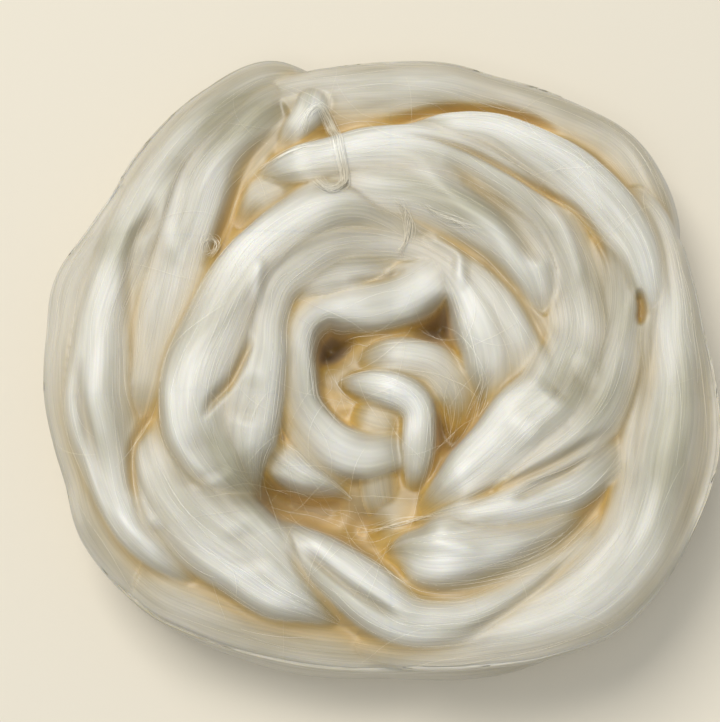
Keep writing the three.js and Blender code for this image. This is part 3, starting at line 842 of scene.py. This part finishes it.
def finished_piece(name, points, faces, uv, sky, material):
    """An object that rides with the coil: its fibre coordinates, each point's sky, which sets its painted
    shade and highlight, and its share of the patches of painted shade.
    """
    mesh = bpy.data.meshes.new(name)
    mesh.from_pydata((points * MM).tolist(), [], faces)
    mesh.uv_layers.new(name="fibre").data.foreach_set("uv", uv.astype(np.float32).ravel())
    x, y = points[:, 0], points[:, 1]
    for key, values in (("sky", read_map(sky, x, y) / FULL_SKY), ("painted_shade", shade_patch_share(x, y))):
        mesh.attributes.new(key, "FLOAT", "POINT").data.foreach_set("value", values.astype(np.float32))
    mesh.shade_smooth()
    mesh.materials.append(material)
    piece = placed(name, mesh)
    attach(piece, "root")
    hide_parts("silk_coil")
    return piece


def silk_object(name, skins, sky, material):
    """One piece of several tubes."""
    points, faces, uv = [], [], []
    first = 0
    for skin in skins:
        more_points, more_faces, more_uv = skin_mesh(skin, first)
        first += len(more_points)
        points.append(more_points)
        faces += more_faces
        uv.append(more_uv + rng.uniform(0, UV_SHIFT, 2))
    return finished_piece(name, np.vstack(points), faces, np.vstack(uv), sky, material)


def wall_skin(skin, relief, heights, inside, roof):
    """A skin with its folds, sunk under the draped top apart from the rim."""
    normal = normals_of(skin.rings, skin.closed)
    part = np.clip(WALL["slope"] * normal[:, :, 2], WALL["least_relief"], 1)
    x, y, z = np.moveaxis(skin.rings + normal * (relief * part)[:, :, None], 2, 0)
    share = read_map(inside, x, y)
    free = WALL["free"] * np.clip(1 - WALL["fade"] * share, 0, 1)
    above = RIM["sink"] - (RIM["sink"] + WALL["sink"]) * share + free
    z = np.minimum(z, read_map(heights, x, y) + above)
    z = np.minimum(z, np.where(share > RIM["inner"], read_map(roof, x, y) - WALL["sink"], ABOVE_ALL))
    return skin._replace(rings=np.stack([x, y, np.maximum(z, 0)], axis=2))


def draped_object(name, part, heights, inside, plan, sky, material):
    """The top of the silk over part of the plan, a quad for each cell of the height map."""
    covered = inside > RIM["cover"]
    for axis in (0, 1):
        covered = covered & np.roll(covered, -1, axis=axis)
    i, j = np.nonzero(part & covered)
    uv, by_x, by_y = (grid[i, j] for grid in plan[:3])
    level = heights - RIM["sink"] * (1 - inside)
    ids = np.full(heights.shape, -1)
    steps = ((0, 0), (1, 0), (1, 1), (0, 1))
    for di, dj in steps:
        ids[i + di, j + dj] = 0
    ids[ids == 0] = np.arange(np.count_nonzero(ids == 0))
    used = ids >= 0
    points = np.column_stack([MAP_X[used], MAP_Y[used], level[used]])
    faces = np.column_stack([ids[i + di, j + dj] for di, dj in steps]).tolist()
    loops = np.stack([uv + MAP_CELL * (di * by_x + dj * by_y) for di, dj in steps], axis=1)
    return finished_piece(name, points, faces, loops.reshape(-1, 2), sky, material)


def lock_fibres(skins, top, heights, inside):
    """Routes of single fibres along the locks, a little above them, where the lock lies on top."""
    areas = np.array([skin.along[-1] * skin.across[-1] for skin in skins])
    part = np.linspace(-0.5, 0.5, FIBRES["points"])[None, :]
    found = []
    for skin, area in zip(skins, areas):
        number = round(FIBRES["along"] * area / areas.sum())
        count, around = skin.rings.shape[:2]
        length = rng.uniform(*FIBRES["length"], (number, 1)) / STATION_STEP
        slant, bow = rng.normal(0, FIBRES["stray"] / CROWN_STEP, (2, number, 1))
        row = rng.uniform(0, count, (number, 1)) + length * part
        column = rng.uniform(0, around, (number, 1)) + slant * part + 4 * bow * part**2
        row, column = np.clip(row, 0, count - 1.01), np.clip(column, 0, around - 1.01)
        i, j = row.astype(int), column.astype(int)
        route = between(skin.rings, i, j, (row - i)[:, :, None], (column - j)[:, :, None])
        lift = rng.uniform(*FIBRES["lift"], (number, 1)) * (0.5 + rng.uniform(0, 1, part.shape))
        x, y, z = (route[:, :, axis] for axis in range(3))
        on_top = (z > read_map(top, x, y) - FIBRES["sunk"]) & (read_map(inside, x, y) > FIBRES["inside"])
        route[:, :, 2] = read_map(heights, x, y) + lift
        apart = np.linalg.norm(skin.rings[i, j + 1] - skin.rings[i, j], axis=2)
        showing = on_top.mean(axis=1) > FIBRES["showing"]
        found.append(route[showing & (apart.mean(axis=1) > FIBRES["apart"])])
    return np.concatenate(found)


def astray_fibres(heights):
    """Routes of loose fibres, most of them across creases and pits."""
    over = blurred(spread(heights, ASTRAY["reach"], np.max), ASTRAY["ease"])
    depth = np.clip(over - heights - ASTRAY["depth"][0], 0, ASTRAY["depth"][1])
    weight = np.where(heights > BED_TOP - ASTRAY["below"][0], ASTRAY["anywhere"] + depth, 0).ravel()
    number, points = ASTRAY["number"], FIBRES["points"]
    cell = rng.choice(weight.size, number, p=weight / weight.sum())
    start = np.column_stack([MAP_X.flat[cell], MAP_Y.flat[cell]])
    length = rng.uniform(*ASTRAY["share"], (number, 1)) * ASTRAY["length"]
    curve, wobble = ASTRAY["turn"]
    turn = rng.normal(0, curve, (number, 1)) + rng.normal(0, wobble, (number, points))
    heading = rng.uniform(0, 2 * math.pi, (number, 1)) + np.cumsum(turn, axis=1)
    step = length / points
    x = start[:, :1] + np.cumsum(step * np.cos(heading), axis=1)
    y = start[:, 1:] + np.cumsum(step * np.sin(heading), axis=1)
    bottom, top = read_map(heights, x, y), read_map(over, x, y)
    sag = rng.uniform(*ASTRAY["sag"], (number, 1))
    lift = rng.uniform(*ASTRAY["lift"], (number, 1))
    route = np.stack([x, y, top - sag * (top - bottom) + lift], axis=2)
    return route[bottom.min(axis=1) > BED_TOP - ASTRAY["below"][1]]


def wisp_fibres(heights):
    """Routes of the fibres of each wisp, side by side over the silk."""
    below = smoothed_top(heights, WISP_EASE)
    found = []
    for number, rows in WISPS.values():
        knots = in_plan(rows)
        route = spline(knots, np.linspace(0, len(knots) - 1, 3 * FIBRES["points"]))
        for _ in range(number):
            ends = rng.normal(0, WISP_SPREAD, (3, 3))
            moved = route + spline(ends, np.linspace(0, 2, len(route)))
            moved[:, 2] += read_map(below, moved[:, 0], moved[:, 1])
            found.append(moved)
    return np.array(found)


def fibre_mesh(routes, thick):
    """Points, faces, fibre coordinates and upward normals of thin tubes of three sides."""
    number, points = routes.shape[:2]
    ahead = unit(np.gradient(routes, axis=1))
    side = unit(np.cross(ahead, [0, 0, 1.0]))
    rise = np.cross(side, ahead)
    thin = FIBRES["tip"] + (1 - FIBRES["tip"]) * np.sin(math.pi * np.linspace(0.02, 0.98, points))
    radius = thick * rng.uniform(*FIBRES["radius"], (number, 1)) * thin[None, :]
    rings = [
        routes + radius[:, :, None] * (side * math.cos(turn) + rise * math.sin(turn))
        for turn in (0.5, 0.5 + 2 * math.pi / 3, 0.5 + 4 * math.pi / 3)
    ]
    ids = np.arange(number * points * 3).reshape(number, points, 3)
    nexts = np.roll(ids, -1, axis=2)
    quads = np.stack([ids[:, :-1], ids[:, 1:], nexts[:, 1:], nexts[:, :-1]], axis=3).reshape(-1, 4)
    faces = quads.tolist() + ids[:, 0].tolist() + ids[:, -1, ::-1].tolist()
    wide, long = FIBRE_UV
    across = np.array([[0, 0, 1, 1], [1, 1, 2, 2], [2, 2, 3, 3]]) * wide
    lengths = np.arange(points - 1)[:, None] + np.array([0, 1, 1, 0])
    grid = np.zeros((number, points - 1, 3, 4, 2))
    grid[..., 0] = across[None, None] + rng.uniform(0, UV_SHIFT, (number, 1, 1, 1))
    grid[..., 1] = long * lengths[None, :, None] + rng.uniform(0, UV_SHIFT, (number, 1, 1, 1))
    ends = np.tile([[0, 0], [wide, 0], [2 * wide, wide]], (2 * number, 1))
    normals = np.repeat(rise.reshape(-1, 3), 3, axis=0)
    return np.stack(rings, axis=2).reshape(-1, 3), faces, np.vstack([grid.reshape(-1, 2), ends]), normals


def fibre_object(name, routes, thick, sky, material):
    """One piece of many single fibres."""
    points, faces, uv, normals = fibre_mesh(routes, thick)
    piece = finished_piece(name, points, faces, uv, np.maximum(sky, FIBRE_SKY), material)
    piece.data.normals_split_custom_set_from_vertices(normals.tolist())
    return piece


def set_inputs(node, values):
    """Set a node's sockets by name or number, or link them where the value is another node's output."""
    for key, value in values.items():
        if isinstance(value, bpy.types.NodeSocket):
            node.id_data.links.new(value, node.inputs[key])
        else:
            node.inputs[key].default_value = value


def add_node(nodes, kind, values=None, **properties):
    """A new node, with its properties and then its sockets set."""
    node = nodes.new("ShaderNode" + kind)
    for key, value in properties.items():
        setattr(node, key, value)
    set_inputs(node, values or {})
    return node


def silk_material(name, scatter, bright):
    """Lustrous cream silk, streaked along its fibres: painted shade, warm ochre, where little sky reaches
    it, a painted highlight on crests, and patches of painted shade.
    """
    material = bpy.data.materials.new(name)
    material.use_nodes = True
    nodes = material.node_tree.nodes

    # Painted shade and painted highlight: the colour by the sky that the silk sees, warm in the creases and
    # lighter on the crests
    sky = add_node(nodes, "Attribute", attribute_name="sky")
    depth = add_node(nodes, "ValToRGB", {"Fac": sky.outputs["Fac"]})
    ramp = depth.color_ramp
    while len(ramp.elements) < len(SILK_COLOURS_WITH_PAINTED_LIGHT):
        ramp.elements.new(0.5)
    for element, (place, colour) in zip(ramp.elements, SILK_COLOURS_WITH_PAINTED_LIGHT):
        element.position = place / FULL_SKY
        element.color = (*colour, 1)

    fibre = add_node(nodes, "UVMap", uv_map="fibre")
    streaks = {}
    for key, scale in STREAKS.items():
        mapping = add_node(nodes, "Mapping", {"Vector": fibre.outputs["UV"], "Scale": scale})
        noise = add_node(nodes, "TexNoise", {"Vector": mapping.outputs["Vector"], "Scale": 1, "Detail": 2})
        streaks[key] = noise.outputs["Fac"]

    # Lighter and darker fibres, all lighter still where bright is over 1: painted light on the single
    # fibres
    low, high = STREAK_TONE
    spread_tone = {"From Min": 0.3, "From Max": 0.7, "To Min": low * bright, "To Max": high * bright}
    tone = add_node(nodes, "MapRange", {"Value": streaks["tone"]} | spread_tone)
    multiply = {"data_type": "RGBA", "blend_type": "MULTIPLY"}
    both = {"Factor": 1, "A": depth.outputs["Color"], "B": tone.outputs["Result"]}
    tint = add_node(nodes, "Mix", both, **multiply)

    # Patches of painted shade, from the table and from chance
    shade_patch = add_node(nodes, "MapRange", {"Value": streaks["shade_patch"], "From Min": 0.42, "From Max": 0.68})
    part = add_node(nodes, "Math", {0: shade_patch.outputs["Result"], 1: SHADE_PATCH_SHARE}, operation="MULTIPLY")
    painted_shade = add_node(nodes, "Attribute", attribute_name="painted_shade")
    either = {0: part.outputs["Value"], 1: painted_shade.outputs["Fac"]}
    share = add_node(nodes, "Math", either, operation="ADD", use_clamp=True)
    shade_patch_inputs = {"Factor": share.outputs["Value"], "A": tint.outputs["Result"], "B": SHADE_PATCH_TINT}
    shade_patched = add_node(nodes, "Mix", shade_patch_inputs, **multiply)

    # Fine fibres, and gloss that runs along them
    bump = add_node(nodes, "Bump", {"Height": streaks["bump"], "Strength": 0.7, "Distance": 0.2 * MM})
    tangent = add_node(nodes, "Tangent", direction_type="UV_MAP", uv_map="fibre")
    set_inputs(nodes["Principled BSDF"], SILK_GLOSS | {
        "Subsurface Weight": scatter, "Base Color": shade_patched.outputs["Result"],
        "Normal": bump.outputs["Normal"], "Tangent": tangent.outputs["Tangent"],
    })
    return material


def add_camera():
    """The camera at the photograph's angle, its shift placing the coil in the frame as there."""
    data = bpy.data.cameras.new("camera")
    long_side = max(IMAGE)
    data.sensor_width = SENSOR
    data.lens = SENSOR * CAMERA["focal_pixels"] / long_side
    data.shift_x = (IMAGE[0] / 2 - CAMERA["aim_pixel"][0]) / long_side
    data.shift_y = (CAMERA["aim_pixel"][1] - IMAGE[1] / 2) / long_side
    camera = placed("camera", data)
    rise = math.radians(CAMERA["elevation"])
    back = Vector((0, -math.cos(rise), math.sin(rise)))
    camera.location = (Vector(CAMERA["aim"]) + back * CAMERA["distance"]) * MM
    camera.rotation_euler = (-back).to_track_quat("-Z", "Y").to_euler()
    bpy.context.scene.camera = camera


def add_light(name, place, size, power, colour):
    """A square soft light aimed at the coil."""
    data = bpy.data.lights.new(name, "AREA")
    data.size = size
    data.energy = power
    data.color = colour
    light = placed(name, data)
    light.location = place
    light.rotation_euler = (-Vector(place)).to_track_quat("-Z", "Y").to_euler()


def add_floor():
    """A wide plain pale floor."""
    mesh = bpy.data.meshes.new("floor")
    sides = ((-1, -1), (1, -1), (1, 1), (-1, 1))
    mesh.from_pydata([(FLOOR_HALF * a, FLOOR_HALF * b, 0) for a, b in sides], [], [(0, 1, 2, 3)])
    material = bpy.data.materials.new("pale_floor")
    material.use_nodes = True
    set_inputs(material.node_tree.nodes["Principled BSDF"], FLOOR)
    mesh.materials.append(material)
    floor = placed("floor", mesh)
    floor.location.z = FLOOR_LEVEL


def add_world():
    """Even soft light from all round."""
    world = bpy.data.worlds.new("studio")
    bpy.context.scene.world = world
    world.use_nodes = True
    set_inputs(world.node_tree.nodes["Background"], WORLD)


add_camera()
add_world()
for light_name, settings in LIGHTS.items():
    add_light(light_name, *settings)
add_floor()
bpy.context.scene.view_settings.view_transform = "Standard"
silk = silk_material("silk", scatter=0.45, bright=1)
# The single fibres are painted lighter: painted light that stands in for the light passing through them and
# offsets the shade they cast on each other
fibre_silk = silk_material("fibre_silk", scatter=0, bright=1.6)

# The lengths of sliver as tubes, and the height of the silk that lies over them
skin_names = ["lower_turn", "bed", *OUTER_LOCKS, *EYE_LOCKS]
skins = [lower_turn_skin(), bed_skin()]
skins += [lock_skin(rows, OUTER_SET, name in WALLED) for name, rows in OUTER_LOCKS.items()]
skins += [lock_skin(rows, EYE_SET, False) for rows in EYE_LOCKS.values()]
reliefs = [fold_relief(skin) for skin in skins]
top, top_face = top_map(skins)
inside = inside_rim(top)
soft = eased_top(top)
creases = np.where(top > 0, fold_change(), 0)
# The sky that each cell sees, which paints shade into the creases and a highlight onto the crests
sky = blurred(sky_map(soft + SKY["crisp"] * (top - soft) + creases), SKY["ease"])
plan = fibre_plan(skins, reliefs, top_face)
steep = np.hypot(*np.gradient(soft, MAP_CELL))
strands = blurred(plan[3] / (1 + steep**2), EASE["top"])
heights = top + strands + inside * (soft + creases - top)

# The outer walls, the draped top and the single fibres
roof = spread(np.where(inside > RIM["middle"], heights, ABOVE_ALL), WALL["roof"], np.min)
walls = {
    name: wall_skin(skin, relief, heights, inside, roof)
    for name, skin, relief in zip(skin_names, skins, reliefs) if name in WALLED
}
silk_object("lower_turns", [walls.pop("lower_turn"), walls.pop("bed")], sky, silk)
silk_object("rim_locks", list(walls.values()), sky, silk)
sides = {"left": MAP_X < EYE[0], "right": MAP_X >= EYE[0]}
ends = {"near": MAP_Y < EYE[1], "middle": (MAP_Y >= EYE[1]) & (MAP_Y < FAR), "far": MAP_Y >= FAR}
for side, end in product(sides, ends):
    draped_object(f"top_{end}_{side}", sides[side] & ends[end], heights, inside, plan, sky, silk)
fibre_object("lock_fibres", lock_fibres(skins, top, heights, inside), THICK["lock"], sky, fibre_silk)
fibre_object("loose_fibres", astray_fibres(heights), THICK["loose"], sky, fibre_silk)
fibre_object("wisps", wisp_fibres(heights), THICK["wisp"], sky, fibre_silk)
